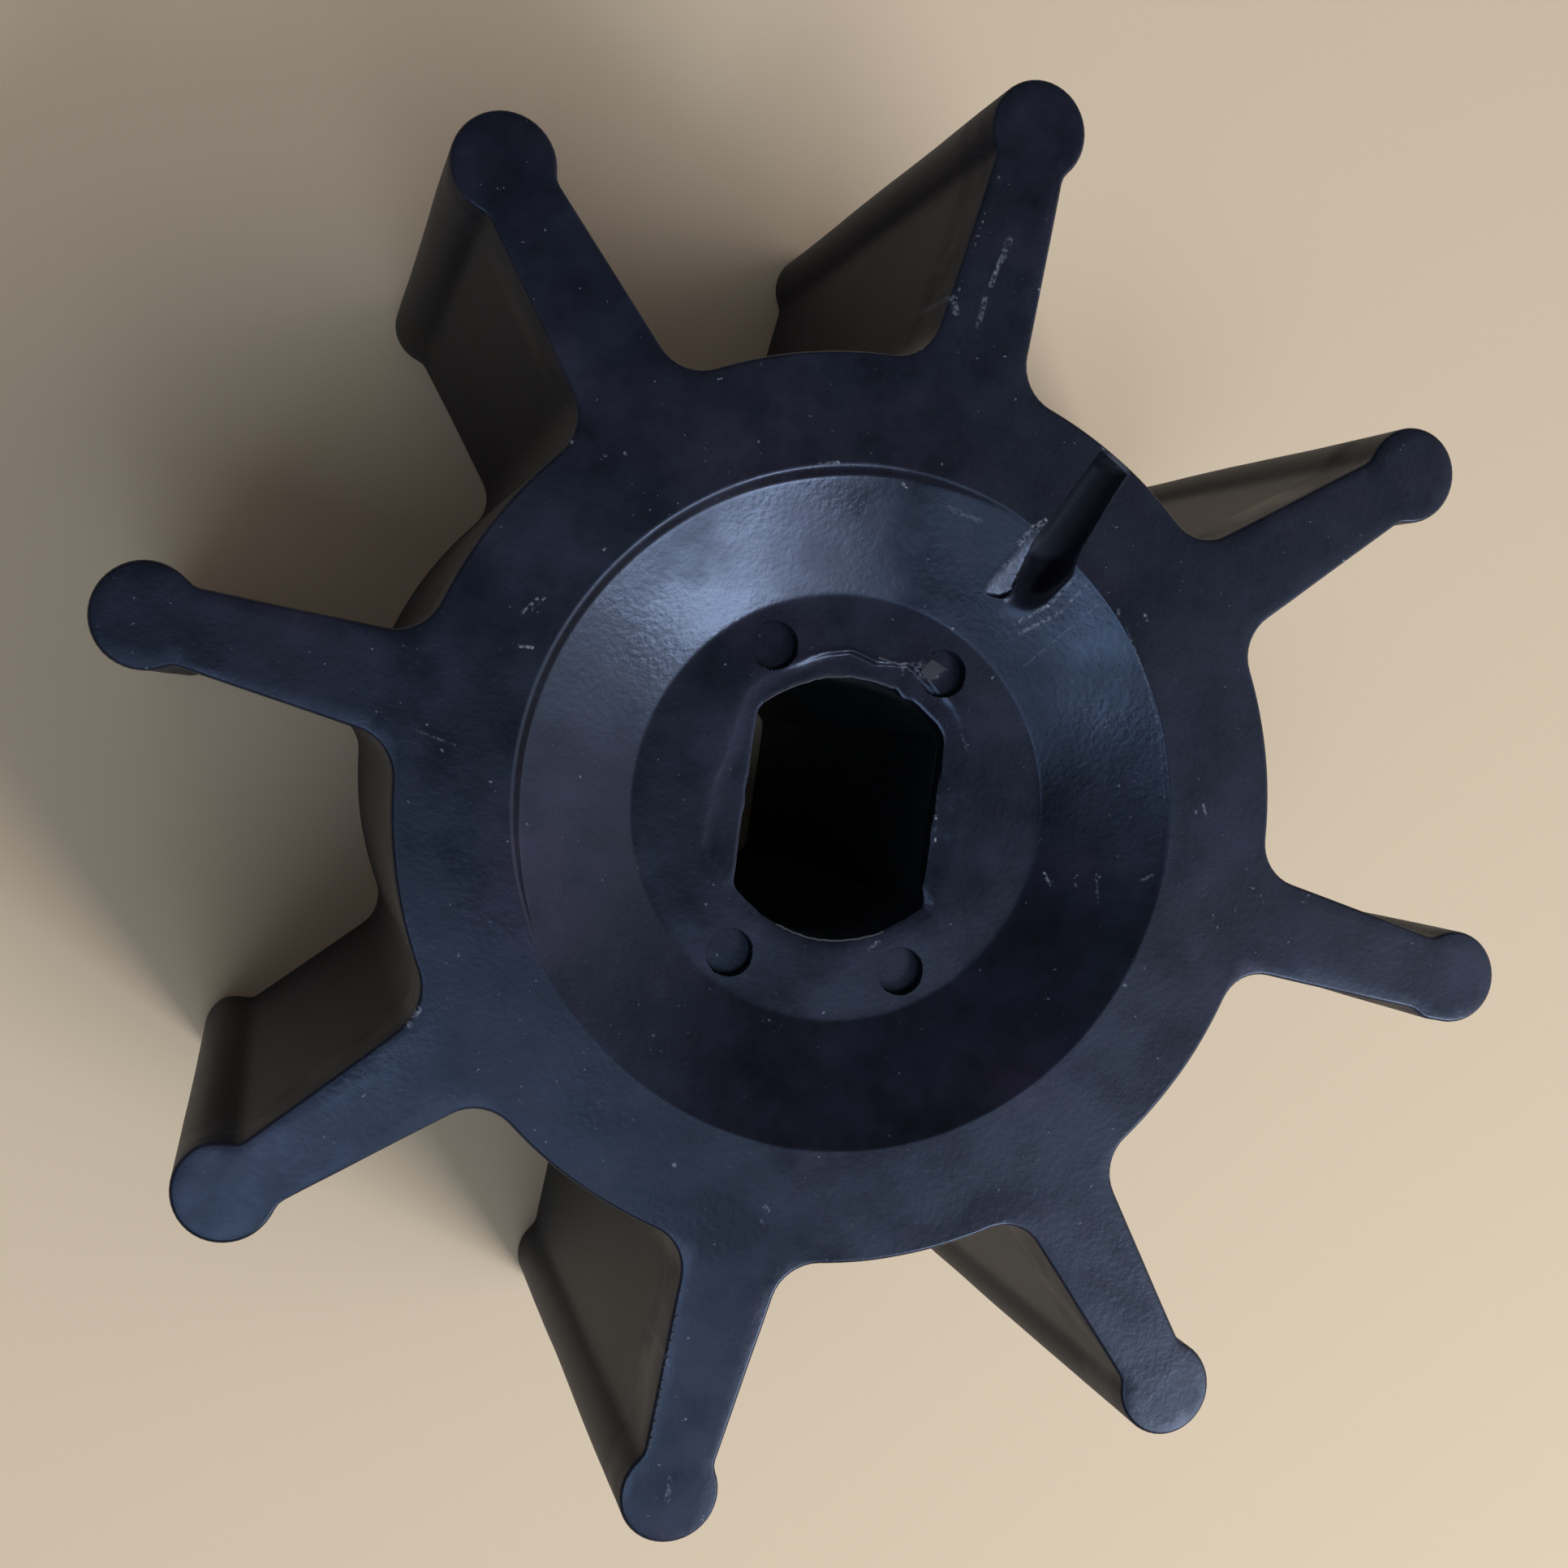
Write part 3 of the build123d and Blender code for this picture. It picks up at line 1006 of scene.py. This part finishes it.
def settle(mesh, size):
    """Gives the moulding the slight unevenness of soft rubber, most at its front."""
    for vert in mesh.verts:
        shift = Vector()
        for wave, reach in SKIN_WAVES:
            shift += skin_noise(vert.co / (wave * MM)) * reach * MM
        shift.z *= vert.co.z / size.width * 0.8
        vert.co += shift


def rubber_mesh(size, rubber):
    """The whole moulding as one closed mesh."""
    mesh = bmesh.new()
    mesh.from_mesh(blade_ring(size, rubber))
    hub_mesh(size, mesh)
    bmesh.ops.remove_doubles(mesh, verts=mesh.verts, dist=MERGE_GAP)
    open_edges = sum(len(edge.link_faces) != 2 for edge in mesh.edges)
    if open_edges:
        raise RuntimeError(f"The moulding has {open_edges} open edges")
    settle(mesh, size)
    data = mesh_data("rubber_moulding", mesh)
    data.shade_smooth()
    data.set_sharp_from_angle(angle=radians(50))
    for name in ("turn", *SET_UNITS):
        data.attributes.remove(data.attributes[name])
    data.materials.clear()
    data.materials.append(rubber)
    return data


# Torn flash


def flash_tree():
    """Geometry Nodes that make a ragged thread of rubber along each line of a mesh."""
    t, given = new_piece_group("Flash thread", dict.fromkeys(("Thickness", "Step", "Raggedness"), "Float"))
    line = t.add("GeometryNodeMeshToCurve", {"Mesh": given["Geometry"]}).outputs[0]
    spaced = {"Curve": line, "Length": given["Step"]}
    even = t.add("GeometryNodeResampleCurve", spaced, mode="LENGTH").outputs[0]
    circle = {"Resolution": 6, "Radius": given["Thickness"]}
    section = t.add("GeometryNodeCurvePrimitiveCircle", circle).outputs[0]
    swept = {"Curve": even, "Profile Curve": section, "Fill Caps": True}
    thread = t.add("GeometryNodeCurveToMesh", swept).outputs[0]
    rough = t.add("ShaderNodeTexNoise", {"Scale": 3500.0, "Detail": 2.0}).outputs["Color"]
    shift = t.scaled(t.vector("SUBTRACT", rough, (0.5, 0.5, 0.5)), given["Raggedness"])
    moved = t.add("GeometryNodeSetPosition", {"Geometry": thread, "Offset": shift}).outputs[0]
    return finish_piece_group(t, moved, given["Rubber"])


def nib_tree():
    """Geometry Nodes that scatter torn nibs of rubber, each of its own size and turn, along lines."""
    t, given = new_piece_group("Edge nibs", dict.fromkeys(("Size", "Step"), "Float"))
    line = t.add("GeometryNodeMeshToCurve", {"Mesh": given["Geometry"]}).outputs[0]
    spaced = {"Curve": line, "Length": given["Step"]}
    points = t.add("GeometryNodeCurveToPoints", spaced, mode="LENGTH").outputs["Points"]
    nib = t.add("GeometryNodeMeshIcoSphere", {"Radius": given["Size"], "Subdivisions": 1}).outputs["Mesh"]
    inputs = {"Points": points, "Instance": nib}
    for name, low, high, seed in (("Rotation", 0, 2 * pi, 3), ("Scale", 0.15, 0.9, 8)):
        limits = {0: (low,) * 3, 1: (high,) * 3, "Seed": seed}
        inputs[name] = t.add("FunctionNodeRandomValue", limits, data_type="FLOAT_VECTOR").outputs[0]
    spread = t.add("GeometryNodeInstanceOnPoints", inputs).outputs[0]
    return finish_piece_group(t, spread, given["Rubber"])


def line_mesh(name, lines):
    """Mesh of open lines through given points."""
    data = bpy.data.meshes.new(name)
    points = [point for line in lines for point in line]
    edges = []
    first = 0
    for line in lines:
        edges += [(first + i, first + i + 1) for i in range(len(line) - 1)]
        first += len(line)
    data.from_pydata(points, edges, [])
    return data


def flash_lines(size):
    """Lines along the torn flash round the front mouth of the bore."""
    lines = []
    steps = 24
    for start, end, out in FLASH_ARCS:
        line = []
        for i in range(steps + 1):
            angle = radians(lerp(start, end, i / steps))
            place = direction(angle) * (mouth_radius_at(size, angle) + out * MM)
            line.append(raised(place, front_height(size, place)))
        lines.append(line)
    return lines


def nib_lines(size):
    """Lines along the blade edges that have torn nibs."""
    return [[(x * MM, y * MM, size.width - NIB_SINK) for x, y in line] for line in NIB_EDGES]


def flap_mesh(size):
    """Small torn flap of skin that stands over the edge of one pin hole."""
    mesh = bmesh.new()
    base = size.width - size.ring_depth
    corners = [Vector((x * MM, y * MM, base + z * MM)) for x, y, z in FLAP_CORNERS]
    bottom = [mesh.verts.new(corner) for corner in corners]
    top = [mesh.verts.new(corner + Vector((0, 0, FLAP_THICKNESS))) for corner in corners]
    mesh.faces.new(top)
    mesh.faces.new(bottom[::-1])
    for i in range(len(corners)):
        j = (i + 1) % len(corners)
        mesh.faces.new((bottom[i], bottom[j], top[j], top[i]))
    return mesh_data("pin_hole_flap", mesh)


def add_rubber_piece(name, data):
    """An object of torn rubber, which rides with the moulding."""
    piece = new_object(name, data)
    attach(piece, "root")


def add_grown_piece(name, lines, tree, inputs):
    """A piece that a Geometry Nodes tree makes from lines, with smooth faces."""
    data = grown(line_mesh(name, lines), tree, inputs)
    data.name = name
    data.shade_smooth()
    add_rubber_piece(name, data)


# Materials


def new_material(name):
    """A bare material, and its tree."""
    material = bpy.data.materials.new(name)
    material.use_nodes = True
    material.node_tree.nodes.clear()
    return material, Tree(material.node_tree)


def add_finish(t, base, roughness, specular, more=()):
    """The shader that ends a material."""
    inputs = {"Base Color": base, "Roughness": roughness, "Specular IOR Level": specular, **dict(more)}
    shader = t.add("ShaderNodeBsdfPrincipled", inputs).outputs[0]
    t.add("ShaderNodeOutputMaterial", {"Surface": shader})


def noise_at(t, place, settings):
    """Noise from 0 to 1 at a place."""
    scale, detail, roughness = settings
    inputs = {"Vector": place, "Scale": scale, "Detail": detail, "Roughness": roughness}
    return t.add("ShaderNodeTexNoise", inputs).outputs["Fac"]


def mix_colour(t, factor, first, second):
    """A mix of two colours, each a socket or a plain colour."""
    made = t.add("ShaderNodeMix", data_type="RGBA")
    for name, value in (("Factor", factor), ("A", first), ("B", second)):
        socket = [s for s in made.inputs if s.name == name and s.enabled][0]
        plain = name == "Factor" or isinstance(value, bpy.types.NodeSocket)
        t.give(socket, value if plain else (*value, 1))
    return [s for s in made.outputs if s.enabled][0]


def mark_group():
    """Node group for one mark: its own strength, which fades at its edges, or the value before it if larger.

    The value before also shifts the mark by next to nothing, so that the marks are worked out one by one.
    """
    vectors = dict.fromkeys(("Place", "Start", "Line"), "Vector")
    numbers = dict.fromkeys(("Square", "Inner", "Outer", "Strength", "Before"), "Float")
    t, given = new_group("Mark", "ShaderNodeTree", {**vectors, **numbers})
    shift = t.math("MULTIPLY", given["Before"], 1e-9)
    off = t.vector("SUBTRACT", given["Place"], t.vector("ADD", given["Start"], shift))
    part = t.map_range(t.math("DIVIDE", t.dot(off, given["Line"]), given["Square"]), 0.0, 1.0)
    gap = t.span(t.vector("SUBTRACT", off, t.scaled(given["Line"], part)))
    near = t.map_range(gap, given["Inner"], given["Outer"], 1.0, 0.0, smooth=True)
    own = t.math("MULTIPLY", near, given["Strength"])
    return finish_group(t, "Mark", "Float", t.math("MAXIMUM", own, given["Before"]))


def marks_at(t, plane, marks):
    """The strongest of some marks at a place in the plane. Marks are in millimetres."""
    group = mark_group()
    strongest = 0.0
    for start, end, width, strong in marks:
        first = Vector((*start, 0)) * MM
        line = Vector((*end, 0)) * MM - first
        inputs = {
            "Place": plane,
            "Start": first,
            "Line": line,
            "Square": line.length_squared,
            "Inner": 0.5 * width * MM,
            "Outer": 1.6 * width * MM,
            "Strength": strong,
            "Before": strongest,
        }
        strongest = t.add("ShaderNodeGroup", inputs, node_tree=group).outputs[0]
    return strongest


def rubber_material(look):
    """Satin black rubber: smudged bloom, a smooth recess, small scuffs and specks, painted highlights at the
    bore's mouth and along the recess rim, and a fine grain.
    """
    material, t = new_material("moulded_rubber")
    place = t.add("ShaderNodeTexCoord").outputs["Object"]
    plane = t.vector("MULTIPLY", place, (1, 1, 0))
    front = t.map_range(t.xyz(place)["Z"], 27.5 * MM, 28.5 * MM)
    near_axis = t.map_range(t.span(plane), 12.7 * MM, 13.1 * MM, 1.0, 0.0, smooth=True)
    recess = t.math("MULTIPLY", front, near_axis)

    smudge = t.map_range(noise_at(t, place, SMUDGES), 0.42, 0.70, smooth=True)
    mottle = t.map_range(noise_at(t, place, MOTTLING), 0.38, 0.72)
    bloom = t.math("MULTIPLY_ADD", smudge, 0.62, t.math("MULTIPLY", mottle, 0.38))
    bloom = t.math("MULTIPLY", bloom, t.map_range(front, 0.0, 1.0, 0.5, 1.0))
    stained = t.map_range(noise_at(t, place, STAINS), 0.46, 0.62, smooth=True)
    base = mix_colour(t, bloom, look.body, mix_colour(t, stained, look.bloom, look.stain))

    specks = t.map_range(noise_at(t, place, SPECKS), 0.735, 0.80)
    specks = t.math("MULTIPLY", t.math("MULTIPLY", specks, front), 0.35)
    broken = t.map_range(noise_at(t, place, GAPS_IN_MARKS), 0.44, 0.62)
    # The marks include painted highlights: glints at the bore's mouth and a light line along the recess rim,
    # mixed in with the scuff colour
    marks = t.math("MULTIPLY", t.math("MULTIPLY", marks_at(t, plane, MARKS_AND_HIGHLIGHTS), front), broken)
    wear_and_highlights = t.math("MAXIMUM", t.math("MAXIMUM", specks, marks), marks_at(t, plane, GROOVE_DUST))
    base = mix_colour(t, wear_and_highlights, base, look.scuff_and_highlight)

    patches = t.map_range(noise_at(t, place, POLISH_PATCHES), 0.36, 0.66, -0.08, 0.10)
    skin = t.map_range(recess, 0.0, 1.0, look.roughness, look.polish)
    upright = t.xyz(t.add("ShaderNodeNewGeometry").outputs["Normal"])["Z"]
    walls = t.map_range(upright, 0.2, 0.6, 0.22, 0.0)
    skin = t.math("MULTIPLY_ADD", patches, front, skin)
    rough = t.math("ADD", skin, t.math("MULTIPLY_ADD", wear_and_highlights, 0.3, walls))
    grain = t.math("MULTIPLY_ADD", noise_at(t, place, COARSE_GRAIN), 0.8, noise_at(t, place, FINE_GRAIN))
    bump = t.add("ShaderNodeBump", {"Height": grain, "Strength": 0.25, "Distance": 0.03 * MM})
    tint = (*look.sheen, 1)
    add_finish(t, base, rough, SPECULAR, {"Normal": bump.outputs["Normal"], "Specular Tint": tint})
    return material


def insert_material(look):
    """Dull black glass-filled polymer."""
    material, t = new_material("insert_polymer")
    place = t.add("ShaderNodeTexCoord").outputs["Object"]
    speckle = t.map_range(noise_at(t, place, POLYMER_SPECKLE), 0.45, 0.7)
    base = mix_colour(t, speckle, look.insert, [2.2 * c for c in look.insert])
    add_finish(t, base, t.map_range(noise_at(t, place, POLYMER_PATCHES), 0.3, 0.7, 0.5, 0.62), SPECULAR)
    return material


def floor_material(stage):
    """Plain matt board."""
    material, t = new_material("plain_floor")
    add_finish(t, (*stage.floor, 1), 0.7, 0.2)
    return material


# Stage


def build_floor(stage):
    """A wide plain board under the part."""
    mesh = bmesh.new()
    bmesh.ops.create_grid(mesh, x_segments=1, y_segments=1, size=1.5)
    data = mesh_data("floor", mesh)
    data.materials.append(floor_material(stage))
    new_object("floor", data)


def towards(azimuth, height):
    """Unit vector in a direction from +X, at a height over the floor. Both are in degrees."""
    return raised(direction(radians(azimuth)) * cos(radians(height)), sin(radians(height)))


def soft_light(name, place, tint, watts):
    """A rectangular lamp that faces the part."""
    azimuth, height, wide, high = place
    lamp = bpy.data.lights.new(name, "AREA")
    lamp.shape = "RECTANGLE"
    lamp.size, lamp.size_y = wide, high
    lamp.energy = watts
    lamp.color = tint
    light = new_object(name, lamp)
    light.location = towards(azimuth, height) * LIGHT_DISTANCE
    light.rotation_euler = (-light.location).to_track_quat("-Z", "Y").to_euler()


def build_lights(stage):
    """Two soft lamps, and the light of the room: even air, a broad glow and a haze along the horizon."""
    world = bpy.data.worlds.new("studio")
    world.use_nodes = True
    bpy.context.scene.world = world
    world.node_tree.nodes.clear()
    t = Tree(world.node_tree)
    facing = t.add("ShaderNodeTexCoord").outputs["Generated"]
    glow = t.map_range(t.dot(facing, towards(*GLOW_CENTRE)), 0.65, 1.0, 0.0, stage.glow_strength, smooth=True)
    haze = t.map_range(t.dot(facing, (0, 0, 1)), 0.1, 0.55, stage.haze_strength, 0.0)
    total = t.math("ADD", t.math("ADD", glow, haze), stage.air_strength)
    background = t.add("ShaderNodeBackground", {"Color": (*stage.air, 1), "Strength": total})
    t.add("ShaderNodeOutputWorld", {"Surface": background.outputs[0]})
    soft_light("key", KEY_LIGHT, stage.key, stage.key_power)
    soft_light("sky", SKY_LIGHT, stage.sky, stage.sky_power)


def build_camera(stage):
    """The camera, from where the front of the part fills the view."""
    data = bpy.data.cameras.new("camera")
    data.sensor_width = 36
    data.lens = stage.camera_lens
    data.clip_start = 1 * MM
    camera = new_object("camera", data)
    place = Vector(stage.camera_place)
    forward = (Vector(stage.camera_aim) - place).normalized()
    right = forward.cross(Vector((0, 1, 0))).normalized()
    facing = Matrix((right, right.cross(forward), -forward)).transposed().to_4x4()
    camera.matrix_world = Matrix.Translation(place) @ facing @ Matrix.Rotation(stage.camera_roll, 4, "Z")
    bpy.context.scene.camera = camera


# Operators


class IMPELLER_OT_rubber_moulding(Operator):
    """Build the one-piece rubber moulding: blades, tip beads and hub"""

    bl_idname = "impeller.rubber_moulding"
    bl_label = "Rubber moulding"

    def execute(self, context):
        scene = context.scene
        rubber = rubber_material(scene.impeller_rubber)
        moulding = new_object("rubber_moulding", rubber_mesh(scene.impeller_sizes, rubber))
        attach(moulding, "root")
        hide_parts("rubber_rotor")
        return {"FINISHED"}


class IMPELLER_OT_torn_flash(Operator):
    """Add the torn threads and the flap of flash round the front mouth of the bore"""

    bl_idname = "impeller.torn_flash"
    bl_label = "Torn flash"

    def execute(self, context):
        size = context.scene.impeller_sizes
        rubber = bpy.data.materials["moulded_rubber"]
        inputs = {"Thickness": size.flash_radius, "Step": FLASH_STEP, "Raggedness": FLASH_STEP}
        inputs["Rubber"] = rubber
        add_grown_piece("bore_flash", flash_lines(size), flash_tree(), inputs)
        flap = flap_mesh(size)
        flap.materials.append(rubber)
        add_rubber_piece("pin_hole_flap", flap)
        return {"FINISHED"}


class IMPELLER_OT_edge_nibs(Operator):
    """Add the torn nibs along the front edges of two blades"""

    bl_idname = "impeller.edge_nibs"
    bl_label = "Edge nibs"

    def execute(self, context):
        size = context.scene.impeller_sizes
        inputs = {"Size": size.nib_radius, "Step": NIB_STEP, "Rubber": bpy.data.materials["moulded_rubber"]}
        add_grown_piece("edge_nibs", nib_lines(size), nib_tree(), inputs)
        return {"FINISHED"}


class IMPELLER_OT_drive_insert(Operator):
    """Give the moulded-in drive insert its finish"""

    bl_idname = "impeller.drive_insert"
    bl_label = "Drive insert"

    def execute(self, context):
        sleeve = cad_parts["drive_insert"]
        polymer = insert_material(context.scene.impeller_rubber)
        for material_slot in sleeve.material_slots:
            material_slot.material = polymer
        return {"FINISHED"}


class IMPELLER_OT_stage(Operator):
    """Build the floor, the lights and the camera"""

    bl_idname = "impeller.stage"
    bl_label = "Floor, lights and camera"

    def execute(self, context):
        stage = context.scene.impeller_stage
        build_floor(stage)
        build_lights(stage)
        build_camera(stage)
        context.scene.view_settings.view_transform = "Standard"
        return {"FINISHED"}


class IMPELLER_PT_panel(Panel):
    """Lists the parts of the impeller and their sizes"""

    bl_idname = "IMPELLER_PT_panel"
    bl_label = "Impeller"
    bl_space_type = "VIEW_3D"
    bl_region_type = "UI"
    bl_category = "Impeller"

    def draw(self, context):
        for operator in OPERATORS:
            self.layout.operator(operator.bl_idname)
        scene = context.scene
        for group in (scene.impeller_sizes, scene.impeller_rubber, scene.impeller_stage):
            box = self.layout.box()
            for name in group.bl_rna.properties.keys():
                if name not in ("rna_type", "name"):
                    box.prop(group, name)


OPERATORS = (
    IMPELLER_OT_rubber_moulding,
    IMPELLER_OT_drive_insert,
    IMPELLER_OT_torn_flash,
    IMPELLER_OT_edge_nibs,
    IMPELLER_OT_stage,
)
CLASSES = (ImpellerSizes, RubberLook, StageLook, *OPERATORS, IMPELLER_PT_panel)


def register():
    for made in CLASSES:
        bpy.utils.register_class(made)
    bpy.types.Scene.impeller_sizes = PointerProperty(type=ImpellerSizes)
    bpy.types.Scene.impeller_rubber = PointerProperty(type=RubberLook)
    bpy.types.Scene.impeller_stage = PointerProperty(type=StageLook)


def unregister():
    del bpy.types.Scene.impeller_sizes
    del bpy.types.Scene.impeller_rubber
    del bpy.types.Scene.impeller_stage
    for made in reversed(CLASSES):
        bpy.utils.unregister_class(made)


def main():
    register()
    bpy.ops.impeller.rubber_moulding()
    bpy.ops.impeller.drive_insert()
    bpy.ops.impeller.torn_flash()
    bpy.ops.impeller.edge_nibs()
    bpy.ops.impeller.stage()


if __name__ == "__main__":
    main()
